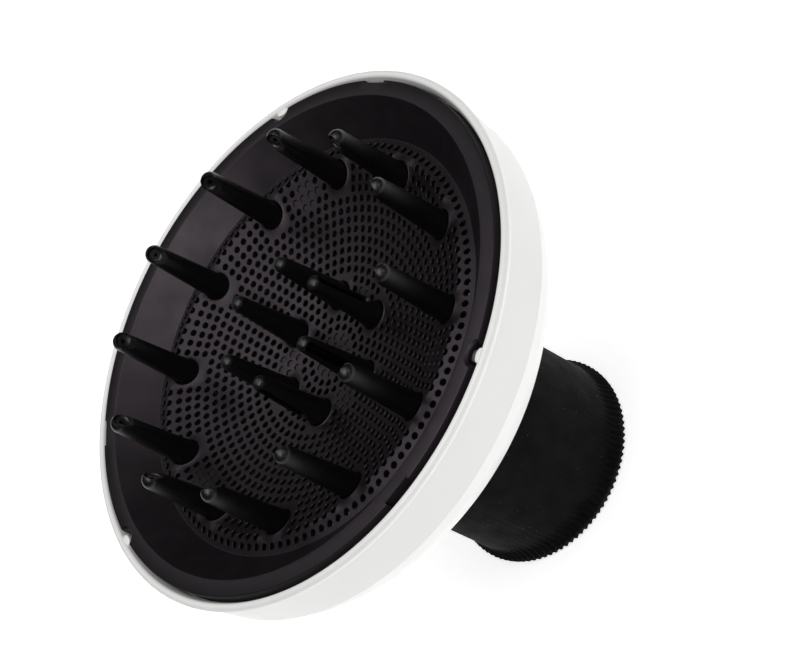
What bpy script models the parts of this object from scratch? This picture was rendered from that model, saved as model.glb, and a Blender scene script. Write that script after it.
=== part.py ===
"""Hair-dryer diffuser: a white bowl with a perforated finger plate and a soft push-on collar.

Units are metres and +Z points out of the bowl's mouth. The diffuser stands on the rear rim of
its collar, so Z = 0 is that rim and the axis of the bowl is the Z axis.
"""

import math

import bmesh
import bpy
from mathutils import Matrix, Vector

# ---------------------------------------------------------------- driving dimensions
GAP = 0.0003                      # clearance left between neighbouring pieces
STEPS = 60                        # facets round the bowl and the plate

FLANGE_Z = 0.1164                 # front face of the insert's flange above the collar's rear rim

# bowl shell
LIP_R = 0.0825                    # centre of the rounded lip bead
LIP_BEAD = 0.00125
LIP_DROP = 0.0019                 # bead centre below the flange face
WALL_TOP_R = 0.0829
WALL_TOP_DROP = 0.0033
WALL_END_R = 0.0814
WALL_END_DROP = 0.0184
BAND_END_R = 0.0790
BAND_END_DROP = 0.0236
BELLY_RADIUS = 0.0548             # arc of the bowl's rear, seen in section
BELLY_CENTRE_R = 0.0323
BELLY_CENTRE_DROP = -0.0054
SHELL_WALL = 0.0022
SHELL_MOUTH_R = 0.0805            # inside of the wall, round the insert's skirt
LEDGE_R = 0.0778
LEDGE_DROP = 0.0085
NECK_R = 0.0302                   # spigot that the collar is pushed over
NECK_WALL = 0.0020
NECK_LENGTH = 0.0235

# insert
FLANGE_R = 0.0800
FLANGE_INNER_R = 0.0750
SKIRT_WALL = 0.0018
PLATE_THICK = 0.0020
VALLEY_R = 0.0652
VALLEY_DROP = 0.0096
CREST_R = 0.0603
CREST_DROP = 0.0083
DISH_R = 0.0588
DISH_CENTRE_DROP = 0.0201
DISH_CURVE = 3.3                  # rise in metres per square metre of radius

# fingers: ring radius, tip radius, root radius, apex above the flange, bore at tip and root
OUTER_COUNT = 12
OUTER_RING_R = 0.05525
OUTER_TIP_R = 0.0029
OUTER_ROOT_R = 0.0040
OUTER_TIP_RISE = 0.0188
OUTER_BORE = (0.00090, 0.0027)
TIP_FACE_TILT = math.radians(65)  # oblique air face of an outer finger, from level towards the centre
TIP_FACE_DEPTH = 0.00125          # its distance from the middle of the domed tip
TIP_HOLE_R = 0.0007
TIP_HOLE_LENGTH = 0.0017
INNER_COUNT = 6
INNER_RING_R = 0.0187
INNER_TIP_R = 0.0024
INNER_ROOT_R = 0.0041
INNER_TIP_RISE = 0.0072
INNER_BORE = (0.00135, 0.0028)
INNER_PHASE = math.radians(30)
SLOT_WIDTH = 0.0026
SLOT_SHARE = 0.78                 # share of the inner finger that its slot runs along
FINGER_STEPS = 12
STOP_R = 0.0049                   # collar behind the plate that stops a finger pulling out
STOP_THICK = 0.0012
STOP_SINK = 0.0040                # front of that collar below the plate's face at the finger

# locating nubs, release notches and snap tongues, three of each round the rim
RIM_PHASE_NUB = math.radians(45)
RIM_PHASE_NOTCH = math.radians(15)
NUB_RING_R = 0.0808
NUB_R = 0.0022
NUB_FLATTEN = 0.55                # thickness of the nub toward the axis, over its width
NUB_DROP = 0.0012
NUB_NOTCH_RING_R = 0.0811
NUB_NOTCH_R = 0.0033
NOTCH_WIDTH = 0.0092
NOTCH_DEPTH = 0.0010
TONGUE_WIDTH = 0.0080
TONGUE_THICK = 0.0011
TONGUE_LENGTH = 0.0052
BARB_DEPTH = 0.0005
BARB_HEIGHT = 0.0012

# posts behind the plate
POST_COUNT = 3
BAFFLE_POST_RING_R = 0.0170
BAFFLE_POST_R = 0.0030
BAFFLE_POST_PHASE = 0.0
SCREW_PILOT_R = 0.0015
WEB_RING_R = 0.0527
WEB_SIZE = (0.0110, 0.0022, 0.0060)

# air baffle behind the plate and its screws
BAFFLE_R = 0.0300
BAFFLE_DROP = 0.0310              # flat seat of the baffle below the flange face
BAFFLE_THICK = 0.0018
BAFFLE_NOSE = 0.0060
BAFFLE_SEAT_R = 0.0215
SCREW_SHANK_R = 0.0012
SCREW_HEAD_R = 0.0027
SCREW_HEAD_THICK = 0.0017
SCREW_LENGTH = 0.0075
SCREW_HOLE_R = 0.0016

# collar
RIB_COUNT = 96
RIB_DEPTH = 0.0007
COLLAR_R = 0.0324
COLLAR_BAND_R = 0.0344
COLLAR_RIM_R = 0.0338
BAND_TOP = 0.0096
FLARE_TOP = 0.0128
COLLAR_SOCKET_R = NECK_R + GAP
COLLAR_STOP_R = 0.0285
COLLAR_STOP_THICK = 0.0025
COLLAR_BORE_R = 0.0293
COLLAR_MOUTH_R = 0.0310
RIM_ROUND = 0.0006


def height(drop):
    """Height above the collar's rear rim of a level that lies `drop` below the flange face."""
    return FLANGE_Z - drop


BELLY_CENTRE_Z = height(BELLY_CENTRE_DROP)
BELLY_BOTTOM_Z = BELLY_CENTRE_Z - BELLY_RADIUS
NECK_END_Z = BELLY_BOTTOM_Z - NECK_LENGTH
COLLAR_TOP_Z = BELLY_BOTTOM_Z - GAP
LEDGE_Z = height(LEDGE_DROP)
SKIRT_END_Z = LEDGE_Z + GAP
BAFFLE_SEAT_Z = height(BAFFLE_DROP)


def dish_drop(radius):
    """Depth of the dished perforated face below the flange face."""
    return DISH_CENTRE_DROP - DISH_CURVE * radius * radius


# ---------------------------------------------------------------- scene helpers
def clear_scene():
    for old in list(bpy.data.objects):
        bpy.data.objects.remove(old, do_unlink=True)
    for old in list(bpy.data.collections):
        bpy.data.collections.remove(old)


def new_collection(name):
    group = bpy.data.collections.new(name)
    bpy.context.scene.collection.children.link(group)
    return group


def new_material(name, colour, roughness, metallic=0.0):
    material = bpy.data.materials.new(name)
    material.use_nodes = True
    shader = material.node_tree.nodes["Principled BSDF"]
    shader.inputs["Base Color"].default_value = (*colour, 1.0)
    shader.inputs["Roughness"].default_value = roughness
    shader.inputs["Metallic"].default_value = metallic
    material.diffuse_color = (*colour, 1.0)
    return material


def add_object(name, mesh, group, material=None):
    piece = bpy.data.objects.new(name, mesh)
    group.objects.link(piece)
    if material is not None:
        mesh.materials.clear()
        mesh.materials.append(material)
    return piece


def add_cutter(name, mesh):
    cutter = add_object(name, mesh, cutters)
    cutter.hide_render = True
    cutter.display_type = "WIRE"
    return cutter


def mesh_from(name, build):
    """A mesh filled by build(bm), with its normals made to point outwards."""
    mesh = bpy.data.meshes.new(name)
    bm = bmesh.new()
    build(bm)
    bmesh.ops.recalc_face_normals(bm, faces=bm.faces)
    bm.to_mesh(mesh)
    bm.free()
    return mesh


def cylinder_mesh(name, radius, low, high, steps, centre=(0.0, 0.0)):
    def build(bm):
        place = Matrix.Translation((centre[0], centre[1], (low + high) / 2))
        bmesh.ops.create_cone(bm, cap_ends=True, segments=steps, radius1=radius, radius2=radius,
                              depth=high - low, matrix=place)
    return mesh_from(name, build)


def box_mesh(name, low, high):
    def build(bm):
        centre = (Vector(low) + Vector(high)) / 2
        size = Vector(high) - Vector(low)
        place = Matrix.Translation(centre) @ Matrix.Diagonal((*size, 1.0))
        bmesh.ops.create_cube(bm, size=1.0, matrix=place)
    return mesh_from(name, build)


def turned_mesh(name, outline, steps):
    """Revolve a closed outline of (radius, height) points about Z and return the settled mesh."""
    profile = bpy.data.meshes.new(name + "_profile")
    points = [(radius, 0.0, level) for radius, level in outline]
    edges = [(i, i + 1) for i in range(len(points) - 1)]
    if outline[0][0] > 0.0 or outline[-1][0] > 0.0:
        edges.append((len(points) - 1, 0))
    profile.from_pydata(points, edges, [])
    blank = add_object(name + "_blank", profile, cutters)
    screw = blank.modifiers.new("turn", "SCREW")
    screw.axis = "Z"
    screw.angle = math.tau
    screw.steps = steps
    screw.render_steps = steps
    screw.use_merge_vertices = True
    screw.merge_threshold = 0.00001
    screw.use_normal_calculate = True
    settled = settled_mesh(blank, name)
    bpy.data.objects.remove(blank, do_unlink=True)
    return settled


def settled_mesh(piece, name):
    """The piece's mesh with its modifiers carried out, normals outwards."""
    bpy.context.view_layer.update()
    graph = bpy.context.evaluated_depsgraph_get()
    mesh = bpy.data.meshes.new_from_object(piece.evaluated_get(graph))
    mesh.name = name
    bm = bmesh.new()
    bm.from_mesh(mesh)
    bmesh.ops.recalc_face_normals(bm, faces=bm.faces)
    bm.to_mesh(mesh)
    bm.free()
    return mesh


def boolean(piece, other, operation):
    step = piece.modifiers.new(other.name, "BOOLEAN")
    step.operation = operation
    step.solver = "EXACT"
    step.object = other


def shade(piece):
    mesh = piece.data
    mesh.shade_smooth()
    mesh.set_sharp_from_angle(angle=math.radians(40))


def arc(centre_r, centre_z, radius, start, end, count):
    """Points on an arc in the profile plane; angles are in degrees from +X towards +Z."""
    points = []
    for i in range(count + 1):
        angle = math.radians(start + (end - start) * i / count)
        points.append((centre_r + radius * math.cos(angle), centre_z + radius * math.sin(angle)))
    return points


def ring_angles(count, phase=0.0):
    return [phase + math.tau * i / count for i in range(count)]


def on_ring(radius, angle, level=0.0):
    return Vector((radius * math.cos(angle), radius * math.sin(angle), level))


def place_on_ring(piece, radius, angle, level=0.0):
    piece.location = on_ring(radius, angle, level)
    piece.rotation_euler = (0.0, 0.0, angle)


# ---------------------------------------------------------------- bowl shell
def bowl_outline():
    bead_z = height(LIP_DROP)
    outer = arc(LIP_R, bead_z, LIP_BEAD, 180, 0, 4)
    outer += [(WALL_TOP_R, height(WALL_TOP_DROP)), (WALL_END_R, height(WALL_END_DROP)),
              (BAND_END_R, height(BAND_END_DROP))]
    start = math.degrees(math.asin((height(BAND_END_DROP) - BELLY_CENTRE_Z) / BELLY_RADIUS))
    outer += arc(BELLY_CENTRE_R, BELLY_CENTRE_Z, BELLY_RADIUS, start, -90, 7)[1:]
    outer += [(NECK_R, BELLY_BOTTOM_Z), (NECK_R, NECK_END_Z)]
    inner_radius = BELLY_RADIUS - SHELL_WALL
    inner = [(NECK_R - NECK_WALL, NECK_END_Z), (NECK_R - NECK_WALL, BELLY_BOTTOM_Z + SHELL_WALL)]
    inner += arc(BELLY_CENTRE_R, BELLY_CENTRE_Z, inner_radius, -90, start, 5)
    inner += [(WALL_END_R - SHELL_WALL, height(WALL_END_DROP)),
              (SHELL_MOUTH_R - 0.0006, height(LEDGE_DROP + 0.0026)),
              (LEDGE_R, height(LEDGE_DROP + 0.0014)), (LEDGE_R, LEDGE_Z),
              (SHELL_MOUTH_R, LEDGE_Z), (SHELL_MOUTH_R, height(WALL_TOP_DROP))]
    return outer + inner


def add_bowl_shell():
    shell = add_object("bowl_shell", turned_mesh("bowl_shell", bowl_outline(), STEPS), parts, white)
    for number, angle in enumerate(ring_angles(POST_COUNT, RIM_PHASE_NUB), 1):
        name = f"nub_{number}"
        nub_mesh = cylinder_mesh(name, NUB_R, LEDGE_Z - 0.0008, height(NUB_DROP), 24)
        nub_mesh.transform(Matrix.Diagonal((NUB_FLATTEN, 1.0, 1.0, 1.0)))
        nub = add_cutter(name, nub_mesh)
        place_on_ring(nub, NUB_RING_R, angle)
        boolean(shell, nub, "UNION")
    half = TONGUE_WIDTH / 2 + 2 * GAP
    for number, angle in enumerate(ring_angles(POST_COUNT, RIM_PHASE_NOTCH), 1):
        slot = add_cutter(f"ledge_slot_{number}", box_mesh(
            f"ledge_slot_{number}",
            (LEDGE_R - 0.0010, -half, LEDGE_Z - 0.0042),
            (SHELL_MOUTH_R - 0.0004, half, LEDGE_Z + 0.0010)))
        slot.rotation_euler = (0.0, 0.0, angle)
        boolean(shell, slot, "DIFFERENCE")
    shade(shell)
    return shell


# ---------------------------------------------------------------- insert
def insert_outline():
    skirt_inner = FLANGE_R - SKIRT_WALL
    radii = [DISH_R, 0.044, 0.029, 0.014]
    front = [(0.0, height(dish_drop(0.0)))]
    front += [(radius, height(dish_drop(radius))) for radius in reversed(radii)]
    front += [(CREST_R, height(CREST_DROP)), (VALLEY_R, height(VALLEY_DROP)),
              (FLANGE_INNER_R, FLANGE_Z), (FLANGE_R - 0.0004, FLANGE_Z), (FLANGE_R, FLANGE_Z - 0.0004)]
    lean = PLATE_THICK / math.sqrt(2)
    back = [(FLANGE_R, SKIRT_END_Z), (skirt_inner, SKIRT_END_Z), (skirt_inner, height(PLATE_THICK)),
            (FLANGE_INNER_R + 0.0008, height(PLATE_THICK)),
            (VALLEY_R + lean, height(VALLEY_DROP + lean)),
            (VALLEY_R - 0.0003, height(VALLEY_DROP + PLATE_THICK + 0.0002))]
    back += [(CREST_R, height(CREST_DROP + PLATE_THICK))]
    back += [(radius, height(dish_drop(radius) + PLATE_THICK)) for radius in radii]
    back += [(0.0, height(dish_drop(0.0) + PLATE_THICK))]
    return front + back


def barbed_tongue_mesh(name):
    """Snap tongue under the skirt: a flat blade with an outward barb near its end."""
    outer = FLANGE_R - NOTCH_DEPTH
    top = SKIRT_END_Z + 0.0012
    end = SKIRT_END_Z - TONGUE_LENGTH

    def build(bm):
        section = [(outer - TONGUE_THICK, top), (outer, top), (outer, end + BARB_HEIGHT * 1.6),
                   (outer + BARB_DEPTH, end + BARB_HEIGHT), (outer, end), (outer - TONGUE_THICK, end)]
        corners = [bm.verts.new((r, -TONGUE_WIDTH / 2, z)) for r, z in section]
        face = bm.faces.new(corners)
        grown = bmesh.ops.extrude_face_region(bm, geom=[face])
        moved = [item for item in grown["geom"] if isinstance(item, bmesh.types.BMVert)]
        bmesh.ops.translate(bm, verts=moved, vec=(0.0, TONGUE_WIDTH, 0.0))
    return mesh_from(name, build)


def add_insert():
    insert = add_object("finger_plate", turned_mesh("finger_plate", insert_outline(), STEPS), parts,
                        charcoal)
    add_finger_holes(insert, "outer", OUTER_COUNT, 0.0, OUTER_RING_R, OUTER_ROOT_R)
    add_finger_holes(insert, "inner", INNER_COUNT, INNER_PHASE, INNER_RING_R, INNER_ROOT_R)
    add_rim_notches(insert)
    add_back_posts(insert)
    shade(insert)
    return insert


def add_finger_holes(insert, label, count, phase, ring_r, root_r):
    face_z = height(dish_drop(ring_r))
    for number, angle in enumerate(ring_angles(count, phase), 1):
        name = f"{label}_hole_{number}"
        hole = add_cutter(name, cylinder_mesh(name, root_r + GAP, face_z - 0.008, face_z + 0.006,
                                              FINGER_STEPS))
        place_on_ring(hole, ring_r, angle)
        boolean(insert, hole, "DIFFERENCE")


def add_rim_notches(insert):
    for number, angle in enumerate(ring_angles(POST_COUNT, RIM_PHASE_NUB), 1):
        name = f"nub_notch_{number}"
        cut = add_cutter(name, cylinder_mesh(name, NUB_NOTCH_R, SKIRT_END_Z - 0.002,
                                             FLANGE_Z + 0.002, 24))
        place_on_ring(cut, NUB_NOTCH_RING_R, angle)
        boolean(insert, cut, "DIFFERENCE")
    for number, angle in enumerate(ring_angles(POST_COUNT, RIM_PHASE_NOTCH), 1):
        name = f"release_notch_{number}"
        cut = add_cutter(name, box_mesh(
            name, (FLANGE_R - NOTCH_DEPTH, -NOTCH_WIDTH / 2, SKIRT_END_Z - 0.002),
            (FLANGE_R + 0.002, NOTCH_WIDTH / 2, FLANGE_Z + 0.002)))
        cut.rotation_euler = (0.0, 0.0, angle)
        boolean(insert, cut, "DIFFERENCE")
        tongue = add_cutter(f"tongue_{number}", barbed_tongue_mesh(f"tongue_{number}"))
        tongue.rotation_euler = (0.0, 0.0, angle)
        boolean(insert, tongue, "UNION")


def add_back_posts(insert):
    post_top = height(dish_drop(BAFFLE_POST_RING_R) + PLATE_THICK / 2)
    for number, angle in enumerate(ring_angles(POST_COUNT, BAFFLE_POST_PHASE), 1):
        name = f"baffle_post_{number}"
        post = add_cutter(name, cylinder_mesh(name, BAFFLE_POST_R, BAFFLE_SEAT_Z + GAP, post_top, 16))
        place_on_ring(post, BAFFLE_POST_RING_R, angle)
        boolean(insert, post, "UNION")
        name = f"pilot_hole_{number}"
        pilot = add_cutter(name, cylinder_mesh(name, SCREW_PILOT_R, BAFFLE_SEAT_Z - 0.002,
                                               BAFFLE_SEAT_Z + SCREW_LENGTH, 12))
        place_on_ring(pilot, BAFFLE_POST_RING_R, angle)
        boolean(insert, pilot, "DIFFERENCE")
    length, width, depth = WEB_SIZE
    web_top = height(dish_drop(WEB_RING_R - length / 2) + PLATE_THICK / 2)
    for number, angle in enumerate(ring_angles(POST_COUNT, RIM_PHASE_NUB), 1):
        name = f"web_{number}"
        web = add_cutter(name, box_mesh(name, (-length / 2, -width / 2, web_top - depth),
                                        (length / 2, width / 2, web_top + 0.0002)))
        place_on_ring(web, WEB_RING_R, angle)
        boolean(insert, web, "UNION")


# ---------------------------------------------------------------- fingers
def finger_outline(face_z, tip_z, root_r, bore, roof, tip):
    """Hollow tapered finger with a stop collar behind the plate, in its own axis system."""
    stop_top = face_z - STOP_SINK
    stop_end = stop_top - STOP_THICK
    bore_tip, bore_root = bore
    return [(0.0, tip_z), *tip, (root_r, face_z), (root_r, stop_top), (STOP_R, stop_top), (STOP_R, stop_end),
            (bore_root, stop_end), (bore_tip, roof - 0.0006), (0.0, roof)]


def outer_finger_mesh():
    """Finger with a domed tip, an oblique air face on the side of the hair and a hole through that face."""
    face_z = height(dish_drop(OUTER_RING_R))
    tip_z = FLANGE_Z + OUTER_TIP_RISE
    dome_z = tip_z - OUTER_TIP_R
    dome = arc(0.0, dome_z, OUTER_TIP_R, 90, 0, 4)[1:]
    outline = finger_outline(face_z, tip_z, OUTER_ROOT_R, OUTER_BORE, dome_z, dome)
    blank = add_object("outer_finger_blank", turned_mesh("outer_finger", outline, FINGER_STEPS), cutters)
    size = 4 * OUTER_TIP_R
    face_cut = add_cutter("tip_face_cut", box_mesh("tip_face_cut", (-size, -size, 0.0), (size, size, size)))
    hole_cut = add_cutter("tip_hole_cut", cylinder_mesh("tip_hole_cut", TIP_HOLE_R, -TIP_HOLE_LENGTH,
                                                        TIP_HOLE_LENGTH, FINGER_STEPS))
    for cut in (face_cut, hole_cut):
        cut.location = (-TIP_FACE_DEPTH * math.sin(TIP_FACE_TILT), 0.0,
                        dome_z + TIP_FACE_DEPTH * math.cos(TIP_FACE_TILT))
        cut.rotation_euler = (0.0, -TIP_FACE_TILT, 0.0)
        boolean(blank, cut, "DIFFERENCE")
    mesh = settled_mesh(blank, "outer_finger")
    for used in (blank, face_cut, hole_cut):
        bpy.data.objects.remove(used, do_unlink=True)
    return mesh


def inner_finger_mesh():
    face_z = height(dish_drop(INNER_RING_R))
    tip_z = FLANGE_Z + INNER_TIP_RISE
    round_over = INNER_TIP_R * 0.45
    tip = [(INNER_TIP_R - round_over, tip_z), (INNER_TIP_R - 0.3 * round_over, tip_z - 0.35 * round_over),
           (INNER_TIP_R, tip_z - round_over)]
    outline = finger_outline(face_z, tip_z, INNER_ROOT_R, INNER_BORE, tip_z - 0.0011, tip)
    blank = add_object("inner_finger_blank", turned_mesh("inner_finger", outline, FINGER_STEPS), cutters)
    slot_top = tip_z - 0.0014
    slot_end = tip_z - SLOT_SHARE * (tip_z - face_z)
    cut = add_cutter("slot_cut", box_mesh("slot_cut", (0.0004, -SLOT_WIDTH / 2, slot_end),
                                          (2 * INNER_ROOT_R, SLOT_WIDTH / 2, slot_top)))
    boolean(blank, cut, "DIFFERENCE")
    mesh = settled_mesh(blank, "inner_finger")
    bpy.data.objects.remove(blank, do_unlink=True)
    bpy.data.objects.remove(cut, do_unlink=True)
    return mesh


def add_fingers(label, mesh, count, phase, ring_r):
    pieces = []
    for number, angle in enumerate(ring_angles(count, phase), 1):
        finger = add_object(f"{label}_finger_{number:02d}", mesh.copy(), parts, black)
        place_on_ring(finger, ring_r, angle)
        shade(finger)
        pieces.append(finger)
    return pieces


# ---------------------------------------------------------------- baffle and screws
def add_baffle():
    seat = BAFFLE_SEAT_Z
    back = seat - BAFFLE_THICK
    outline = [(0.0, seat - BAFFLE_NOSE * 0.75), (0.0095, seat - BAFFLE_NOSE * 0.35),
               (0.0125, seat), (BAFFLE_SEAT_R, seat), (BAFFLE_R, seat + 0.0028),
               (BAFFLE_R, seat + 0.0028 - BAFFLE_THICK), (BAFFLE_SEAT_R, back), (0.0115, back),
               (0.0080, seat - BAFFLE_NOSE), (0.0, seat - BAFFLE_NOSE * 1.4)]
    baffle = add_object("air_baffle", turned_mesh("air_baffle", outline, 36), parts, black)
    for number, angle in enumerate(ring_angles(POST_COUNT, BAFFLE_POST_PHASE), 1):
        name = f"baffle_hole_{number}"
        hole = add_cutter(name, cylinder_mesh(name, SCREW_HOLE_R, back - 0.002, seat + 0.002, 12))
        place_on_ring(hole, BAFFLE_POST_RING_R, angle)
        boolean(baffle, hole, "DIFFERENCE")
    shade(baffle)
    return baffle


def screw_mesh():
    head_top = BAFFLE_SEAT_Z - BAFFLE_THICK - GAP
    head_end = head_top - SCREW_HEAD_THICK
    tip = BAFFLE_SEAT_Z + SCREW_LENGTH - 0.0012
    outline = [(0.0, tip), (SCREW_SHANK_R, tip - 0.0016), (SCREW_SHANK_R, head_top),
               (SCREW_HEAD_R, head_top), (SCREW_HEAD_R, head_end + 0.0006),
               (SCREW_HEAD_R - 0.0008, head_end), (0.0, head_end)]
    blank = add_object("screw_blank", turned_mesh("screw", outline, 12), cutters)
    for turn in (0, 1):
        long, short = 0.0016, 0.00035
        half = (long, short) if turn == 0 else (short, long)
        name = f"cross_slot_{turn}"
        cut = add_cutter(name, box_mesh(name, (-half[0], -half[1], head_end - 0.001),
                                        (half[0], half[1], head_end + 0.0009)))
        boolean(blank, cut, "DIFFERENCE")
    mesh = settled_mesh(blank, "screw")
    for turn in (0, 1):
        bpy.data.objects.remove(bpy.data.objects[f"cross_slot_{turn}"], do_unlink=True)
    bpy.data.objects.remove(blank, do_unlink=True)
    return mesh


def add_screws():
    mesh = screw_mesh()
    pieces = []
    for number, angle in enumerate(ring_angles(POST_COUNT, BAFFLE_POST_PHASE), 1):
        screw = add_object(f"baffle_screw_{number}", mesh.copy(), parts, steel)
        place_on_ring(screw, BAFFLE_POST_RING_R, angle)
        shade(screw)
        pieces.append(screw)
    return pieces


# ---------------------------------------------------------------- collar
def collar_outline():
    socket_end = NECK_END_Z - GAP
    stop_end = socket_end - COLLAR_STOP_THICK
    return [(COLLAR_R, COLLAR_TOP_Z), (COLLAR_R, FLARE_TOP), (COLLAR_R + 0.0005, FLARE_TOP - 0.0016),
            (COLLAR_BAND_R, BAND_TOP), (COLLAR_RIM_R, RIM_ROUND), (COLLAR_RIM_R - RIM_ROUND, 0.0),
            (COLLAR_MOUTH_R, 0.0), (COLLAR_BORE_R, 0.0030), (COLLAR_BORE_R, stop_end - 0.0016),
            (COLLAR_STOP_R, stop_end), (COLLAR_STOP_R, socket_end),
            (COLLAR_SOCKET_R, socket_end), (COLLAR_SOCKET_R, COLLAR_TOP_Z)]


def add_collar():
    """Soft sleeve; each facet of its rear band is split in two and folded into a grip rib."""
    mesh = turned_mesh("collar", collar_outline(), RIB_COUNT)
    bm = bmesh.new()
    bm.from_mesh(mesh)
    band_edges = [edge for edge in bm.edges if is_band_ring(edge)]
    split = bmesh.ops.subdivide_edges(bm, edges=band_edges, cuts=1, use_grid_fill=True)
    valleys = [item for item in split["geom_inner"] if isinstance(item, bmesh.types.BMVert)]
    for vertex in valleys:
        radius = math.hypot(vertex.co.x, vertex.co.y)
        factor = (radius - RIB_DEPTH) / radius
        vertex.co.x *= factor
        vertex.co.y *= factor
    bm.to_mesh(mesh)
    bm.free()
    collar = add_object("push_on_collar", mesh, parts, rubber)
    shade(collar)
    return collar


def is_band_ring(edge):
    """True for the circumferential edges at the top and the bottom of the ribbed band."""
    first, second = edge.verts
    level = first.co.z
    flat = abs(level - second.co.z) < 0.00001
    outside = math.hypot(first.co.x, first.co.y) > COLLAR_RIM_R - 0.0001
    return flat and outside and level < BAND_TOP + 0.0001


# ---------------------------------------------------------------- assembly
def add_empty(name, parent=None):
    empty = bpy.data.objects.new(name, None)
    empty.empty_display_size = 0.02
    parts.objects.link(empty)
    empty.parent = parent
    return empty


clear_scene()
parts = new_collection("dryer_diffuser")
cutters = new_collection("cutters")

white = new_material("white_plastic", (0.86, 0.86, 0.84), 0.28)
charcoal = new_material("charcoal_plastic", (0.040, 0.035, 0.040), 0.48)
black = new_material("black_plastic", (0.012, 0.012, 0.012), 0.34)
rubber = new_material("black_rubber", (0.010, 0.010, 0.010), 0.72)
steel = new_material("zinc_screw", (0.55, 0.55, 0.55), 0.35, metallic=1.0)

bowl_lift = add_empty("bowl_lift")
insert_lift = add_empty("insert_lift", bowl_lift)

add_collar()
add_bowl_shell().parent = bowl_lift

insert_pieces = [add_insert(), add_baffle()]
insert_pieces += add_fingers("outer", outer_finger_mesh(), OUTER_COUNT, 0.0, OUTER_RING_R)
insert_pieces += add_fingers("inner", inner_finger_mesh(), INNER_COUNT, INNER_PHASE, INNER_RING_R)
insert_pieces += add_screws()
for insert_piece in insert_pieces:
    insert_piece.parent = insert_lift
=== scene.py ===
"""Looks of the hair-dryer diffuser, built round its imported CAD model.

Metres throughout, in the CAD's own frame: +Z points out of the bowl's mouth and Z = 0 is the rear
rim of the collar. Every CAD node is stood for by a finer piece of the same size in the same place.
"""

import math

import bmesh
import bpy
from mathutils import Matrix, Vector, geometry


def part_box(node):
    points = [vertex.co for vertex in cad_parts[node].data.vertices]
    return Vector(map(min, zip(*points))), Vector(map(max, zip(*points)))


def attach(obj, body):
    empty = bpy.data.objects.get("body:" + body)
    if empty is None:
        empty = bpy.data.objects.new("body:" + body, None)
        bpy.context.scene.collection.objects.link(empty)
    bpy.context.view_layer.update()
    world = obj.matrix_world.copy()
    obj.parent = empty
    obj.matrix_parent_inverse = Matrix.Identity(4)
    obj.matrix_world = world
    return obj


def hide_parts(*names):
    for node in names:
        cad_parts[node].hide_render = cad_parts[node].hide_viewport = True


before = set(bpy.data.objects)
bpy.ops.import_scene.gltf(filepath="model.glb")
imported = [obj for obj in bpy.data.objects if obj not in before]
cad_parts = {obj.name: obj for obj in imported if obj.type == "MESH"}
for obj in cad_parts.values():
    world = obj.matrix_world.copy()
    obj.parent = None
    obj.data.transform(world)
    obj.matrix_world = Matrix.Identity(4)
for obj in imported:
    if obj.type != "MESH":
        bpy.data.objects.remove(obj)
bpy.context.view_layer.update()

# ---------------------------------------------------------------- levels taken from the CAD
FLANGE_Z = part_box("finger_plate")[1].z
NECK_END_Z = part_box("bowl_shell")[0].z
COLLAR_TOP_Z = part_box("push_on_collar")[1].z
BAFFLE_END_Z, BAFFLE_RIM_Z = (corner.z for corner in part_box("air_baffle"))
SCREW_HEAD_Z, SCREW_TIP_Z = (corner.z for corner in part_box("baffle_screw_1"))

# ---------------------------------------------------------------- driving dimensions
GAP = 0.0003
FINE_STEPS = 240                  # facets round the bowl, the flange and the plate's edge
OVERCUT = 0.0020                  # how far a cutter runs past the face that it opens
SMOOTH_ANGLE = math.radians(32)   # sharper edges than this stay crisp in the shading
EDGE_POLISH = 0.08                # fall in roughness along outer edges

# bowl shell
LIP_R = 0.0825
LIP_BEAD = 0.00125
LIP_DROP = 0.0019
WALL_TOP = (0.0829, 0.0033)       # radius, drop below the flange face
WALL_END = (0.0814, 0.0184)
BAND_END = (0.0790, 0.0236)
WALL_TOP_ROUND = 0.0022
WALL_END_ROUND = 0.0005
BAND_END_ROUND = 0.0006
BELLY_RADIUS = 0.0548
BELLY_CENTRE_R = 0.0323
BELLY_CENTRE_DROP = -0.0054
SHELL_WALL = 0.0022
SHELL_MOUTH_R = 0.0805
LEDGE_R = 0.0778
LEDGE_DROP = 0.0085
LEDGE_THICK = 0.0014
LEDGE_SUPPORT = 0.0012            # height of the slope that carries the ledge
NECK_R = 0.0302
NECK_WALL = 0.0020

# insert: flange, cone wall and perforated plate
FLANGE_R = 0.0800
CONE_TOP_R = 0.0750
SKIRT_WALL = 0.0018
PLATE_THICK = 0.0020
PLATE_EDGE_R = 0.0649
VALLEY_R = 0.0652
VALLEY_DROP = 0.0096
RIM_SLOPE = 0.265                 # fall of the plate outside its crest
DISH_CENTRE_DROP = 0.0201
DISH_CURVE = 3.3
CREST_ROUND = 0.00015

# perforations: rings at one pitch with six more holes on each, then rings that keep one count
RING_PITCH = 0.002957
FIRST_OPEN_RING = 3
LAST_EVEN_RING = 16
OUTER_RINGS = ((0.0503, 108), (0.0533, 108), (0.0564, 108), (0.05975, 108), (0.0627, 120))
HOLE_R = 0.00098
HOLE_CHAMFER = 0.00013
HOLE_STEPS = 14
DIMPLE_DEPTH = 0.00040
PAD_R = 0.00595                   # no perforation is centred nearer to a finger than this
WEB_PATCH = (0.0533, 0.0061, 0.0040)    # ring radius, half length across, half length along the radius
POST_PATCH = (0.0178, 0.0037, 0.0037)

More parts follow.
